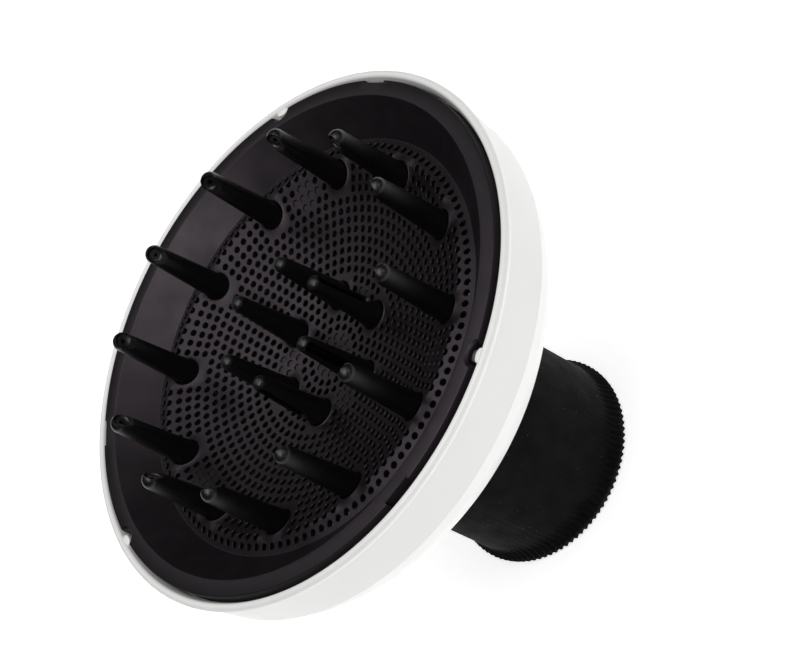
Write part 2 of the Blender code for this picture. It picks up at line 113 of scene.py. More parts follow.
# fingers
OUTER_COUNT = 12
OUTER_RING_R = 0.05525
OUTER_TIP_R = 0.0029
OUTER_ROOT_R = 0.0040
OUTER_TIP_RISE = 0.0188
OUTER_BORE = (0.00090, 0.0027)    # radius at the tip, at the root
TIP_FACE_TILT = math.radians(65)  # oblique air face of an outer finger, from level towards the centre
TIP_FACE_DEPTH = 0.00125          # its distance from the middle of the domed tip
TIP_HOLE_R = 0.0007
TIP_HOLE_LENGTH = 0.0017
TIP_DISH = (0.0023, 0.0010, 0.0007)    # outer radius, inner radius, depth
TIP_EDGE_ROUND = 0.00018
TIP_OVERCUT = 0.0003
INNER_COUNT = 6
INNER_PHASE = math.radians(30)
INNER_RING_R = 0.0187
INNER_TIP_R = 0.0024
INNER_ROOT_R = 0.0041
INNER_TIP_RISE = 0.0072
INNER_DOME_ROUND = 0.0017
INNER_BORE = (0.00135, 0.0028)
SLOT_HALF = 0.00110
SLOT_SHARE = 0.78
SLOT_TOP_DROP = 0.0012            # from the finger's tip to the end of its slot
SLOT_FLARE = 0.00110              # widening of the slot just outside the surface
FINGER_STEPS = 48
STOP_R = 0.0049
STOP_THICK = 0.0012
STOP_SINK = 0.0040
BOSS_R = 0.00478                  # foot of the low swelling round each finger
BOSS_TOP_R = 0.00440
BOSS_RISE = 0.00022

# rim details, three of each
TRIO = 3
NUB_PHASE = math.radians(45)
RELEASE_PHASE = math.radians(15)
NUB_RING_R = 0.0808
NUB_R = 0.0022
NUB_FLATTEN = 0.55                # the nub's thickness toward the axis, over its width
NUB_DROP = 0.0012
NUB_ROOT = 0.0008                 # depth of the nub's root in the ledge
NUB_ROUND = 0.0005
NUB_NOTCH_RING_R = 0.0811
NUB_NOTCH_R = 0.0033
NOTCH_FLARE = 0.0006
RELEASE_WIDTH = 0.0092
RELEASE_DEPTH = 0.0010
TONGUE_WIDTH = 0.0080
TONGUE_THICK = 0.0011
TONGUE_LENGTH = 0.0052
TONGUE_ROOT = 0.0012              # overlap of a tongue with the skirt
POCKET_DEPTH = 0.0042             # reach of a tongue's pocket below the ledge
POCKET_SIDE = 0.0010              # reach of the pocket inside and above the ledge
POCKET_SKIN = 0.0004
BARB_DEPTH = 0.0005
BARB_HEIGHT = 0.0012

# behind the plate
POST_RING_R = 0.0170
POST_R = 0.0030
PILOT_R = 0.0015
WEB_RING_R = 0.0527
WEB_SIZE = (0.0110, 0.0022, 0.0060)    # length along the radius, width, depth
WEB_TAPER = 0.0010
BAFFLE_R = 0.0300
BAFFLE_THICK = 0.0018
BAFFLE_NOSE = 0.0060
BAFFLE_SEAT_R = 0.0215
BAFFLE_SEAT_DROP = 0.0310
SCREW_SHANK_R = 0.0012
SCREW_HEAD_R = 0.0027
SCREW_HEAD_THICK = 0.0017
THREAD_PITCH = 0.0008
THREAD_DEPTH = 0.0003
RECESS_SIZE = (0.0016, 0.00035, 0.0009)    # half length, half width, depth of the cross recess
SCREW_HOLE_R = 0.0016

# collar
RIB_COUNT = 96
RIB_COLUMNS = 8                   # mesh columns to a rib
RIB_DEPTH = 0.0008
COLLAR_R = 0.0324
BAND_R = 0.0344
COLLAR_RIM_R = 0.0338
BAND_TOP = 0.0024
FLARE_TOP = 0.0090
FLARE_BEND = 1.15                 # above 1, the flare leaves the cylinder gently
COLLAR_STOP_R = 0.0285
COLLAR_STOP_THICK = 0.0025
COLLAR_BORE_R = 0.0293
COLLAR_MOUTH_R = 0.0310
MOUTH_DEPTH = 0.0030
STOP_RAMP = 0.0016

# studio
LIGHT_AIM = (0.0, 0.0, 0.10)
LIGHT_DISTANCE = 1.3
SOFTBOXES = (                     # name, azimuth, elevation, side, radiance
    ("back", 91, 52, 0.30, 5.0),
    ("front", -50, 40, 0.34, 4.0),
    ("crown", 240, 60, 0.60, 2.3),
    ("near", 270, 16, 0.60, 0.5),
    ("right", 0, 60, 0.60, 1.0),
    ("overhead", 270, 85, 1.00, 3.2),
)
FLOOR_HALF = 6.0
FLOOR_GLOW = 0.68
FILL_STRENGTH = 0.04


def height(drop):
    """Height of a level that lies `drop` below the flange face."""
    return FLANGE_Z - drop


BELLY_CENTRE_Z = height(BELLY_CENTRE_DROP)
BELLY_BOTTOM_Z = BELLY_CENTRE_Z - BELLY_RADIUS
LEDGE_Z = height(LEDGE_DROP)
SKIRT_END_Z = LEDGE_Z + GAP
BAFFLE_SEAT_Z = height(BAFFLE_SEAT_DROP)


def plate_height(radius):
    """Front face of the perforated plate: a shallow dish that turns down again near its edge."""
    dish = height(DISH_CENTRE_DROP) + DISH_CURVE * radius * radius
    slope = height(VALLEY_DROP) + RIM_SLOPE * (VALLEY_R - radius)
    lower, upper = min(dish, slope), max(dish, slope)
    return lower - CREST_ROUND * math.log1p(math.exp((lower - upper) / CREST_ROUND))


# ---------------------------------------------------------------- mesh helpers
def ring_angles(count, phase=0.0):
    return [phase + math.tau * i / count for i in range(count)]


def on_ring(radius, angle, level=0.0):
    return Vector((radius * math.cos(angle), radius * math.sin(angle), level))


def ring_matrix(radius, angle):
    return Matrix.Translation(on_ring(radius, angle)) @ Matrix.Rotation(angle, 4, "Z")


def arc(centre, radius, start, end, count):
    """Points on an arc in the profile plane; angles are in degrees from +R towards +Z."""
    turns = [math.radians(start + (end - start) * i / count) for i in range(count + 1)]
    return [(centre[0] + radius * math.cos(t), centre[1] + radius * math.sin(t)) for t in turns]


def filleted(outline, steps=3):
    """Closed outline whose (radius, height, round-over) corners become small arcs."""
    points = []
    for i, (radius, level, round_over) in enumerate(outline):
        corner = Vector((radius, level))
        if round_over == 0.0:
            points.append(tuple(corner))
            continue
        back = (Vector(outline[i - 1][:2]) - corner).normalized()
        ahead = (Vector(outline[(i + 1) % len(outline)][:2]) - corner).normalized()
        half = back.angle(ahead) / 2
        centre = corner + (back + ahead).normalized() * round_over / math.sin(half)
        first = (corner + back * round_over / math.tan(half) - centre).normalized()
        last = (corner + ahead * round_over / math.tan(half) - centre).normalized()
        for step in range(steps + 1):
            points.append(tuple(centre + first.slerp(last, step / steps) * round_over))
    return points


def mesh_from(name, build):
    """A mesh filled by build(bm), with its normals made to point outwards."""
    mesh = bpy.data.meshes.new(name)
    bm = bmesh.new()
    build(bm)
    bmesh.ops.recalc_face_normals(bm, faces=bm.faces)
    bm.to_mesh(mesh)
    bm.free()
    return mesh


def turned_mesh(name, outline, steps, shape=None):
    """Closed outline revolved about Z; shape(radius, height, angle) may move a point off its circle."""
    count = len(outline)

    def build(bm):
        columns = []
        for angle in ring_angles(steps):
            column = []
            for radius, level in outline:
                if shape is not None:
                    radius, level = shape(radius, level, angle)
                column.append(bm.verts.new(on_ring(radius, angle, level)))
            columns.append(column)
        for i in range(steps):
            near, far = columns[i], columns[(i + 1) % steps]
            for k in range(count):
                after = (k + 1) % count
                bm.faces.new((near[k], far[k], far[after], near[after]))
        bmesh.ops.remove_doubles(bm, verts=bm.verts, dist=0.0000005)
    return mesh_from(name, build)


def box_mesh(name, low, high):
    def build(bm):
        low_corner, high_corner = Vector(low), Vector(high)
        place = Matrix.Translation((low_corner + high_corner) / 2)
        stretch = Matrix.Diagonal((*(high_corner - low_corner), 1.0))
        bmesh.ops.create_cube(bm, size=1.0, matrix=place @ stretch)
    return mesh_from(name, build)


def prism_mesh(name, section, width):
    """A section in the XZ plane drawn out along Y, centred on Y = 0."""
    def build(bm):
        near = [bm.verts.new((x, -width / 2, z)) for x, z in section]
        far = [bm.verts.new((x, width / 2, z)) for x, z in section]
        bm.faces.new(near)
        bm.faces.new(reversed(far))
        for i in range(len(section)):
            after = (i + 1) % len(section)
            bm.faces.new((near[i], near[after], far[after], far[i]))
    return mesh_from(name, build)


def combined(mesh, tools, operation):
    """The mesh after one Boolean with each (mesh, matrix) tool."""
    blank = bpy.data.objects.new("blank", mesh)
    bpy.context.scene.collection.objects.link(blank)
    helpers = []
    for tool, place in tools:
        helper = bpy.data.objects.new("tool", tool)
        helper.matrix_world = place
        bpy.context.scene.collection.objects.link(helper)
        step = blank.modifiers.new("cut", "BOOLEAN")
        step.operation = operation
        step.solver = "EXACT"
        step.object = helper
        helpers.append(helper)
    bpy.context.view_layer.update()
    graph = bpy.context.evaluated_depsgraph_get()
    result = bpy.data.meshes.new_from_object(blank.evaluated_get(graph))
    for helper in helpers + [blank]:
        bpy.data.objects.remove(helper, do_unlink=True)
    return result


def softened(mesh, width):
    """The mesh with its sharp edges rounded over by a narrow bevel."""
    piece = bpy.data.objects.new("blank", mesh)
    bpy.context.scene.collection.objects.link(piece)
    bevel = piece.modifiers.new("soften", "BEVEL")
    bevel.width = width
    bevel.segments = 3
    bevel.limit_method = "ANGLE"
    bevel.angle_limit = SMOOTH_ANGLE
    bpy.context.view_layer.update()
    graph = bpy.context.evaluated_depsgraph_get()
    result = bpy.data.meshes.new_from_object(piece.evaluated_get(graph))
    bpy.data.objects.remove(piece, do_unlink=True)
    return result


def around_ring(mesh, count, phase, radius=0.0):
    """The same tool at equal angles round the axis."""
    return [(mesh, ring_matrix(radius, angle)) for angle in ring_angles(count, phase)]


def show(name, mesh, material, body, nodes, place=None):
    """Put a finished mesh in the scene as the piece that stands for these CAD nodes."""
    mesh.name = name
    mesh.materials.clear()
    mesh.materials.append(material)
    mesh.shade_smooth()
    mesh.set_sharp_from_angle(angle=SMOOTH_ANGLE)
    piece = bpy.data.objects.new(name, mesh)
    bpy.context.scene.collection.objects.link(piece)
    if place is not None:
        piece.matrix_world = place
    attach(piece, body)
    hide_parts(*nodes)
    return piece


# ---------------------------------------------------------------- materials
class Recipe:
    """A Principled material under construction; every texture uses the piece's own coordinates."""

    def __init__(self, name):
        self.material = bpy.data.materials.new(name)
        self.material.use_nodes = True
        self.nodes = self.material.node_tree.nodes
        self.links = self.material.node_tree.links
        self.shader = self.nodes["Principled BSDF"]
        self.place = self.nodes.new("ShaderNodeTexCoord").outputs["Object"]

    def noise(self, grain, detail=2.0, stretch=None):
        """Noise whose features are about `grain` metres across."""
        texture = self.nodes.new("ShaderNodeTexNoise")
        texture.inputs["Scale"].default_value = 1.0 / grain
        texture.inputs["Detail"].default_value = detail
        place = self.place
        if stretch is not None:
            mapping = self.nodes.new("ShaderNodeMapping")
            mapping.inputs["Scale"].default_value = stretch
            self.links.new(place, mapping.inputs["Vector"])
            place = mapping.outputs["Vector"]
        self.links.new(place, texture.inputs["Vector"])
        return texture.outputs["Fac"]

    def ramp(self, value, low, high, to_low=0.0, to_high=1.0):
        """Value mapped from low..high to to_low..to_high, clamped."""
        node = self.nodes.new("ShaderNodeMapRange")
        for socket, number in (("From Min", low), ("From Max", high),
                               ("To Min", to_low), ("To Max", to_high)):
            node.inputs[socket].default_value = number
        self.links.new(value, node.inputs["Value"])
        return node.outputs["Result"]

    def math(self, operation, first, second):
        node = self.nodes.new("ShaderNodeMath")
        node.operation = operation
        for socket, value in zip(node.inputs, (first, second)):
            if isinstance(value, float):
                socket.default_value = value
            else:
                self.links.new(value, socket)
        return node.outputs["Value"]

    def specks(self, spacing, size, share):
        """Mask of round specks `size` across on about `share` of a `spacing` grid of cells."""
        cells = self.nodes.new("ShaderNodeTexVoronoi")
        cells.inputs["Scale"].default_value = 1.0 / spacing
        self.links.new(self.place, cells.inputs["Vector"])
        near = self.ramp(cells.outputs["Distance"], 0.35 * size / spacing, 0.5 * size / spacing, 1.0, 0.0)
        split = self.nodes.new("ShaderNodeSeparateColor")
        self.links.new(cells.outputs["Color"], split.inputs["Color"])
        chosen = self.math("GREATER_THAN", split.outputs["Red"], 1.0 - share)
        return self.math("MULTIPLY", near, chosen)

    def mix(self, factor, first, second):
        """Colour from first to second as factor goes from 0 to 1."""
        node = self.nodes.new("ShaderNodeMix")
        node.data_type = "RGBA"
        self.links.new(factor, node.inputs["Factor"])
        for socket, colour in ((node.inputs["A"], first), (node.inputs["B"], second)):
            if isinstance(colour, tuple):
                socket.default_value = (*colour, 1.0)
            else:
                self.links.new(colour, socket)
        return node.outputs["Result"]

    def bump(self, value, depth, below=None):
        node = self.nodes.new("ShaderNodeBump")
        node.inputs["Strength"].default_value = 1.0
        node.inputs["Distance"].default_value = depth
        self.links.new(value, node.inputs["Height"])
        if below is not None:
            self.links.new(below, node.inputs["Normal"])
        return node.outputs["Normal"]

    def worn(self, roughness):
        """The roughness, a little lower along outer edges, where handling has polished them."""
        shape = self.nodes.new("ShaderNodeNewGeometry")
        polish = self.ramp(shape.outputs["Pointiness"], 0.52, 0.60, 0.0, EDGE_POLISH)
        return self.math("SUBTRACT", roughness, polish)

    def finish(self, colour, roughness, normal):
        self.links.new(colour, self.shader.inputs["Base Color"])
        self.links.new(roughness, self.shader.inputs["Roughness"])
        self.links.new(normal, self.shader.inputs["Normal"])
        return self.material


def moulded(name, light, dark, roughness, grain_depth, dust, reflection_tint=(1.0, 1.0, 1.0)):
    """Moulded plastic: faint mottling, uneven gloss, fine mould grain and a few specks of dust."""
    make = Recipe(name)
    cloud = make.noise(0.018, 3.0)
    body = make.mix(make.ramp(cloud, 0.35, 0.65), dark, light)
    dust_colour, spacing, size, share = dust
    specks = make.specks(spacing, size, share)
    colour = make.mix(specks, body, dust_colour)
    uneven = make.ramp(make.noise(0.007, 3.0), 0.3, 0.7, roughness - 0.04, roughness + 0.05)
    gloss = make.math("MAXIMUM", make.worn(uneven), make.math("MULTIPLY", specks, 0.9))
    grain = make.bump(make.noise(0.00035, 1.0), grain_depth)
    wave = make.bump(make.noise(0.009, 1.0), grain_depth * 4.0, grain)
    # Specular Tint scales and tints the reflections; the charcoal's purple tint here is a painted reflection
    # of pinkish room light.
    make.shader.inputs["Specular Tint"].default_value = (*reflection_tint, 1.0)
    return make.finish(colour, gloss, wave)


def soft_rubber(name):
    """Matte black rubber with a grey bloom and white dust caught in clusters."""
    make = Recipe(name)
    bloom = make.ramp(make.noise(0.010, 4.0), 0.42, 0.75)
    body = make.mix(bloom, (0.0022, 0.0020, 0.0021), (0.0038, 0.0036, 0.0036))
    clusters = make.ramp(make.noise(0.013, 2.0), 0.45, 0.60)
    fine = make.math("MULTIPLY", make.specks(0.0011, 0.00030, 0.16), clusters)
    coarse = make.specks(0.0034, 0.00050, 0.10)
    specks = make.math("MAXIMUM", fine, coarse)
    faded = make.math("MULTIPLY", specks, 0.55)
    colour = make.mix(faded, body, (0.22, 0.21, 0.20))
    gloss = make.ramp(make.noise(0.006, 3.0), 0.3, 0.7, 0.62, 0.78)
    grain = make.bump(make.noise(0.00022, 2.0), 0.00004)
    make.shader.inputs["Specular IOR Level"].default_value = 0.07
    return make.finish(colour, make.worn(gloss), grain)


def zinc(name):
    """Zinc plate with turning marks and a dull, faintly yellow bloom."""
    make = Recipe(name)
    make.shader.inputs["Metallic"].default_value = 1.0
    bloom = make.ramp(make.noise(0.0012, 3.0), 0.35, 0.7)
    colour = make.mix(bloom, (0.62, 0.62, 0.60), (0.42, 0.40, 0.34))
    gloss = make.ramp(make.noise(0.0006, 2.0), 0.3, 0.7, 0.24, 0.42)
    marks = make.bump(make.noise(0.0003, 1.0, (1.0, 1.0, 6.0)), 0.00001)
    return make.finish(colour, make.worn(gloss), marks)


# ---------------------------------------------------------------- bowl shell
def bowl_outline():
    wall_top_r, wall_top_drop = WALL_TOP
    wall_end_r, wall_end_drop = WALL_END
    band_end_r, band_end_drop = BAND_END
    belly = (BELLY_CENTRE_R, BELLY_CENTRE_Z)
    start = math.degrees(math.asin((height(band_end_drop) - BELLY_CENTRE_Z) / BELLY_RADIUS))
    outer = arc((LIP_R, height(LIP_DROP)), LIP_BEAD, 180, -35, 16)
    outer += filleted([(*outer[-1], 0.0), (wall_top_r, height(wall_top_drop), WALL_TOP_ROUND),
                       (wall_end_r, height(wall_end_drop), WALL_END_ROUND),
                       (band_end_r, height(band_end_drop), BAND_END_ROUND),
                       (*arc(belly, BELLY_RADIUS, start, -90, 24)[1], 0.0)], 4)[1:-1]
    outer += arc(belly, BELLY_RADIUS, start, -90, 24)[1:]
    outer += filleted([(NECK_R + 0.001, BELLY_BOTTOM_Z, 0.0), (NECK_R, BELLY_BOTTOM_Z, 0.0),
                       (NECK_R, NECK_END_Z, 0.0005), (NECK_R - NECK_WALL, NECK_END_Z, 0.0004),
                       (NECK_R - NECK_WALL, BELLY_BOTTOM_Z, 0.0)])[1:-1]
    inner = [(NECK_R - NECK_WALL, BELLY_BOTTOM_Z + SHELL_WALL)]
    inner += arc(belly, BELLY_RADIUS - SHELL_WALL, -90, start, 20)
    inner += [(wall_end_r - SHELL_WALL, height(wall_end_drop)),
              (SHELL_MOUTH_R - 2 * GAP, height(LEDGE_DROP + LEDGE_THICK + LEDGE_SUPPORT)),
              (LEDGE_R, height(LEDGE_DROP + LEDGE_THICK)), (LEDGE_R, LEDGE_Z),
              (SHELL_MOUTH_R, LEDGE_Z), (SHELL_MOUTH_R, height(wall_top_drop))]
    return outer + inner


def add_bowl(material):
    nub_foot = LEDGE_Z - NUB_ROOT
    nub_top = height(NUB_DROP)
    nub = turned_mesh("nub", filleted([
        (0.0, nub_foot, 0.0), (NUB_R, nub_foot, 0.0), (NUB_R, nub_top, NUB_ROUND), (0.0, nub_top, 0.0)]), 40)
    nub.transform(Matrix.Diagonal((NUB_FLATTEN, 1.0, 1.0, 1.0)))
    half = TONGUE_WIDTH / 2 + 2 * GAP
    pocket = box_mesh("pocket", (LEDGE_R - POCKET_SIDE, -half, LEDGE_Z - POCKET_DEPTH),
                      (SHELL_MOUTH_R - POCKET_SKIN, half, LEDGE_Z + POCKET_SIDE))
    shell = turned_mesh("bowl", bowl_outline(), FINE_STEPS)
    shell = combined(shell, around_ring(nub, TRIO, NUB_PHASE, NUB_RING_R), "UNION")
    shell = combined(shell, around_ring(pocket, TRIO, RELEASE_PHASE), "DIFFERENCE")
    return show("white_bowl", shell, material, "bowl", ["bowl_shell"])


# ---------------------------------------------------------------- insert
def flange_outline():
    """Flange, cone wall and skirt, closed across the joint with the perforated plate."""
    skirt_inner = FLANGE_R - SKIRT_WALL
    lean = PLATE_THICK / math.sqrt(2)
    edge_z = plate_height(PLATE_EDGE_R)
    return filleted([
        (PLATE_EDGE_R, edge_z, 0.0), (VALLEY_R, height(VALLEY_DROP), 0.00025),
        (CONE_TOP_R, FLANGE_Z, 0.0006), (FLANGE_R, FLANGE_Z, 0.0004),
        (FLANGE_R, SKIRT_END_Z, 0.0002), (skirt_inner, SKIRT_END_Z, 0.0002),
        (skirt_inner, height(PLATE_THICK), 0.0004),
        (CONE_TOP_R + 0.0008, height(PLATE_THICK), 0.0004),
        (VALLEY_R + lean, height(VALLEY_DROP + lean), 0.0004),
        (PLATE_EDGE_R, edge_z - PLATE_THICK, 0.0)])


def flange_mesh():
    cut_low = SKIRT_END_Z - OVERCUT
    cut_high = FLANGE_Z + OVERCUT / 10
    flare = [(NUB_NOTCH_R + out * NOTCH_FLARE, FLANGE_Z - down * NOTCH_FLARE)
             for out, down in ((0.0, 2.0), (0.3, 1.0), (1.0, 0.4))]
    notch = turned_mesh("notch", [
        (0.0, cut_low), (NUB_NOTCH_R, cut_low), *flare,
        (NUB_NOTCH_R + 2 * NOTCH_FLARE, cut_high), (0.0, cut_high)], 48)
    release = box_mesh("release", (FLANGE_R - RELEASE_DEPTH, -RELEASE_WIDTH / 2, cut_low),
                       (FLANGE_R + OVERCUT, RELEASE_WIDTH / 2, FLANGE_Z + OVERCUT))
    outer = FLANGE_R - RELEASE_DEPTH
    end = SKIRT_END_Z - TONGUE_LENGTH
    tongue = prism_mesh("tongue", [
        (outer - TONGUE_THICK, SKIRT_END_Z + TONGUE_ROOT), (outer, SKIRT_END_Z + TONGUE_ROOT),
        (outer, end + BARB_HEIGHT * 1.6), (outer + BARB_DEPTH, end + BARB_HEIGHT), (outer, end),
        (outer - TONGUE_THICK, end)], TONGUE_WIDTH)
    flange = turned_mesh("flange", flange_outline(), FINE_STEPS)
    flange = combined(flange, around_ring(notch, TRIO, NUB_PHASE, NUB_NOTCH_RING_R), "DIFFERENCE")
    flange = combined(flange, around_ring(release, TRIO, RELEASE_PHASE), "DIFFERENCE")
    return combined(flange, around_ring(tongue, TRIO, RELEASE_PHASE), "UNION")


def finger_spots():
    """(centre, root radius) of every finger on the plate."""
    spots = [(on_ring(OUTER_RING_R, angle).to_2d(), OUTER_ROOT_R) for angle in ring_angles(OUTER_COUNT)]
    spots += [(on_ring(INNER_RING_R, angle).to_2d(), INNER_ROOT_R)
              for angle in ring_angles(INNER_COUNT, INNER_PHASE)]
    return spots


def in_patch(centre, patch, phase):
    """True where a moulded post or web behind the plate leaves the perforations blind."""
    ring_r, half_across, half_along = patch
    for angle in ring_angles(TRIO, phase):
        along = on_ring(1.0, angle).to_2d()
        offset = centre - along * ring_r
        out = offset.dot(along) / half_along
        across = offset.cross(along) / half_across
        if math.hypot(out, across) < 1.0:
            return True
    return False


def perforations():
    """(centre, is_open) of every hole and blind dimple."""
    rings = [(0.0, 1, 0.0)]
    for ring in range(1, LAST_EVEN_RING + 1):
        count = 6 * ring
        rings.append((ring * RING_PITCH, count, math.pi / count * (ring % 2)))
    rings += [(radius, count, 0.0) for radius, count in OUTER_RINGS]
    found = []
    spots = finger_spots()
    for radius, count, phase in rings:
        for angle in ring_angles(count, phase):
            centre = on_ring(radius, angle).to_2d()
            if min((centre - spot).length for spot, _ in spots) < PAD_R:
                continue
            blind = (radius < (FIRST_OPEN_RING - 0.5) * RING_PITCH
                     or in_patch(centre, WEB_PATCH, NUB_PHASE)
                     or in_patch(centre, POST_PATCH, 0.0))
            found.append((centre, not blind))
    return found


def circle_2d(centre, radius, steps):
    return [centre + on_ring(radius, angle).to_2d() for angle in ring_angles(steps)]


class Sheet:
    """Flat layout of the plate: closed loops of points, joined up by a constrained triangulation."""

    def __init__(self):
        self.points = []
        self.owner = []
        self.edges = []
        self.loops = []

    def add_loop(self, points, **facts):
        first = len(self.points)
        self.loops.append({"first": first, "count": len(points), **facts})
        self.points += points
        self.owner += [len(self.loops) - 1] * len(points)
        self.edges += [(first + i, first + (i + 1) % len(points)) for i in range(len(points))]

    def triangles(self):
        """Triangles as indices of the points that went in."""
        made = geometry.delaunay_2d_cdt(self.points, self.edges, [], 0, 0.0000001)
        first_input = [sources[0] for sources in made[3]]
        return [tuple(first_input[i] for i in face) for face in made[2]]


def plate_layout():
    sheet = Sheet()
    sheet.add_loop(circle_2d(Vector((0.0, 0.0)), PLATE_EDGE_R, FINE_STEPS), kind="edge")
    for centre, is_open in perforations():
        sheet.add_loop(circle_2d(centre, HOLE_R + HOLE_CHAMFER, HOLE_STEPS),
                       kind="hole" if is_open else "dimple", centre=centre, bore=HOLE_R)
    for centre, root_r in finger_spots():
        swell = root_r - OUTER_ROOT_R
        sheet.add_loop(circle_2d(centre, BOSS_R + swell, 2 * HOLE_STEPS), kind="foot")
        sheet.add_loop(circle_2d(centre, BOSS_TOP_R + swell, 2 * HOLE_STEPS), kind="seat",
                       centre=centre, bore=root_r + GAP)
    return sheet


def add_plate_faces(bm):
    """Perforated plate in the mesh: front and back sheets, chamfered bores and blind dimples."""
    sheet = plate_layout()
    front = []
    back = []
    for point, number in zip(sheet.points, sheet.owner):
        loop = sheet.loops[number]
        level = plate_height(point.length)
        lift = BOSS_RISE if loop["kind"] == "seat" else 0.0
        front.append(bm.verts.new((*point, level + lift)))
        under = point
        if "bore" in loop:
            under = loop["centre"] + (point - loop["centre"]).normalized() * loop["bore"]
        back.append(bm.verts.new((*under, plate_height(under.length) - PLATE_THICK)))
    for corners in sheet.triangles():
        owners = {sheet.owner[i] for i in corners}
        kind = sheet.loops[owners.pop()]["kind"] if len(owners) == 1 else "plain"
        if kind in ("plain", "foot", "edge"):
            bm.faces.new([front[i] for i in corners])
        if kind in ("plain", "foot", "edge", "dimple"):
            bm.faces.new([back[i] for i in reversed(corners)])
    for loop in sheet.loops:
        if "bore" in loop:
            add_bore(bm, loop, front, back)


def add_bore(bm, loop, front, back):
    """Chamfer and wall of one bore, or the chamfer and floor of one dimple."""
    members = range(loop["first"], loop["first"] + loop["count"])
    rim = [front[i] for i in members]
    is_dimple = loop["kind"] == "dimple"
    depths = (HOLE_CHAMFER, DIMPLE_DEPTH) if is_dimple else (HOLE_CHAMFER,)
    for depth in depths:
        inner = []
        for vertex in rim:
            flat = loop["centre"] + (vertex.co.to_2d() - loop["centre"]).normalized() * loop["bore"]
            lift = BOSS_RISE if loop["kind"] == "seat" else 0.0
            inner.append(bm.verts.new((*flat, plate_height(flat.length) + lift - depth)))
        bridge(bm, rim, inner)
        rim = inner
    if is_dimple:
        bm.faces.new(rim)
    else:
        bridge(bm, rim, [back[i] for i in members])


def bridge(bm, first, second):
    count = len(first)
    for i in range(count):
        after = (i + 1) % count
        bm.faces.new((first[i], first[after], second[after], second[i]))


def add_insert(material):
    ring = flange_mesh()

    def build(bm):
        bm.from_mesh(ring)
        joint = [face for face in bm.faces
                 if all(v.co.to_2d().length < PLATE_EDGE_R + 0.00001 for v in face.verts)]
        bmesh.ops.delete(bm, geom=joint, context="FACES")
        add_plate_faces(bm)
        bmesh.ops.remove_doubles(bm, verts=bm.verts, dist=0.000002)
    return show("perforated_insert", mesh_from("insert", build), material, "insert", ["finger_plate"])


def add_posts(material):
    """Screw posts and stiffening webs that stand behind the blind patches of the plate."""
    post_top = plate_height(POST_RING_R) - PLATE_THICK / 2
    post = turned_mesh("post", filleted([
        (PILOT_R, BAFFLE_SEAT_Z + GAP, 0.0002), (POST_R, BAFFLE_SEAT_Z + GAP, 0.0003),
        (POST_R, post_top, 0.0), (PILOT_R, post_top, 0.0)]), 32)
    length, width, depth = WEB_SIZE
    web_top = plate_height(WEB_RING_R - length / 2) - PLATE_THICK / 2
    web = prism_mesh("web", [
        (-length / 2, web_top), (-length / 2 + WEB_TAPER, web_top - depth),
        (length / 2 - WEB_TAPER, web_top - depth), (length / 2, web_top)], width)

    def build(bm):
        for tool, phase, radius in ((post, 0.0, POST_RING_R), (web, NUB_PHASE, WEB_RING_R)):
            for mesh, place in around_ring(tool, TRIO, phase, radius):
                before = len(bm.verts)
                bm.from_mesh(mesh)
                bm.verts.ensure_lookup_table()
                bmesh.ops.transform(bm, matrix=place, verts=bm.verts[before:])
    return show("posts_and_webs", mesh_from("posts", build), material, "insert", [])


# ---------------------------------------------------------------- fingers
def tip_cutters(dome_z):
    """Cutters of the oblique air face: its plane, the dish sunk into it and the hole."""
    place = (Matrix.Translation((0.0, 0.0, dome_z)) @ Matrix.Rotation(-TIP_FACE_TILT, 4, "Y")
             @ Matrix.Translation((0.0, 0.0, TIP_FACE_DEPTH)))
    reach = 4 * OUTER_TIP_R
    dish_r, seat_r, depth = TIP_DISH
    face = box_mesh("tip_face", (-reach, -reach, 0.0), (reach, reach, reach))
    bowl = [(dish_r + 0.0004, TIP_OVERCUT), (dish_r, -0.00005)]
    bowl += [(seat_r + (dish_r - seat_r) * math.cos(turn), -depth * math.sin(turn))
             for turn in (math.radians(15 * step) for step in range(1, 6))]
    dish = turned_mesh("tip_dish", [(0.0, TIP_OVERCUT), *bowl, (seat_r, -depth), (0.0, -depth)], FINGER_STEPS)
    hole = turned_mesh("tip_hole", [(0.0, 0.0), (TIP_HOLE_R, 0.0), (TIP_HOLE_R, -TIP_HOLE_LENGTH),
                                    (0.0, -TIP_HOLE_LENGTH)], HOLE_STEPS * 2)
    return [(tool, place) for tool in (face, dish, hole)]


def outer_finger_mesh():
    """Hollow tapered finger with a domed tip and a dished air face on the side of the hair."""
    face_z = plate_height(OUTER_RING_R)
    tip_z = FLANGE_Z + OUTER_TIP_RISE
    dome_z = tip_z - OUTER_TIP_R
    stop_top = face_z - STOP_SINK
    bore_tip, bore_root = OUTER_BORE
    outline = [(0.0, tip_z)] + arc((0.0, dome_z), OUTER_TIP_R, 90, 0, 14)[1:]
    outline += filleted([
        (OUTER_TIP_R, dome_z, 0.0), (OUTER_ROOT_R, face_z, 0.0), (OUTER_ROOT_R, stop_top, 0.0),
        (STOP_R, stop_top, 0.0002), (STOP_R, stop_top - STOP_THICK, 0.0002),
        (bore_root, stop_top - STOP_THICK, 0.0)])[1:]
    outline += [(bore_tip, dome_z - 0.0006), (0.0, dome_z)]
    blank = turned_mesh("outer_finger", outline, FINGER_STEPS)
    return softened(combined(blank, tip_cutters(dome_z), "DIFFERENCE"), TIP_EDGE_ROUND)


def stadium(half_width, low, high, steps=12):
    """Outline in (y, z) with straight sides and round ends, reaching from low to high."""
    ends = ((high - half_width, 0), (low + half_width, 180))
    points = []
    for level, turn in ends:
        for i in range(steps + 1):
            angle = math.radians(turn + 180 * i / steps)
            points.append((half_width * math.cos(angle), level + half_width * math.sin(angle)))
    return points


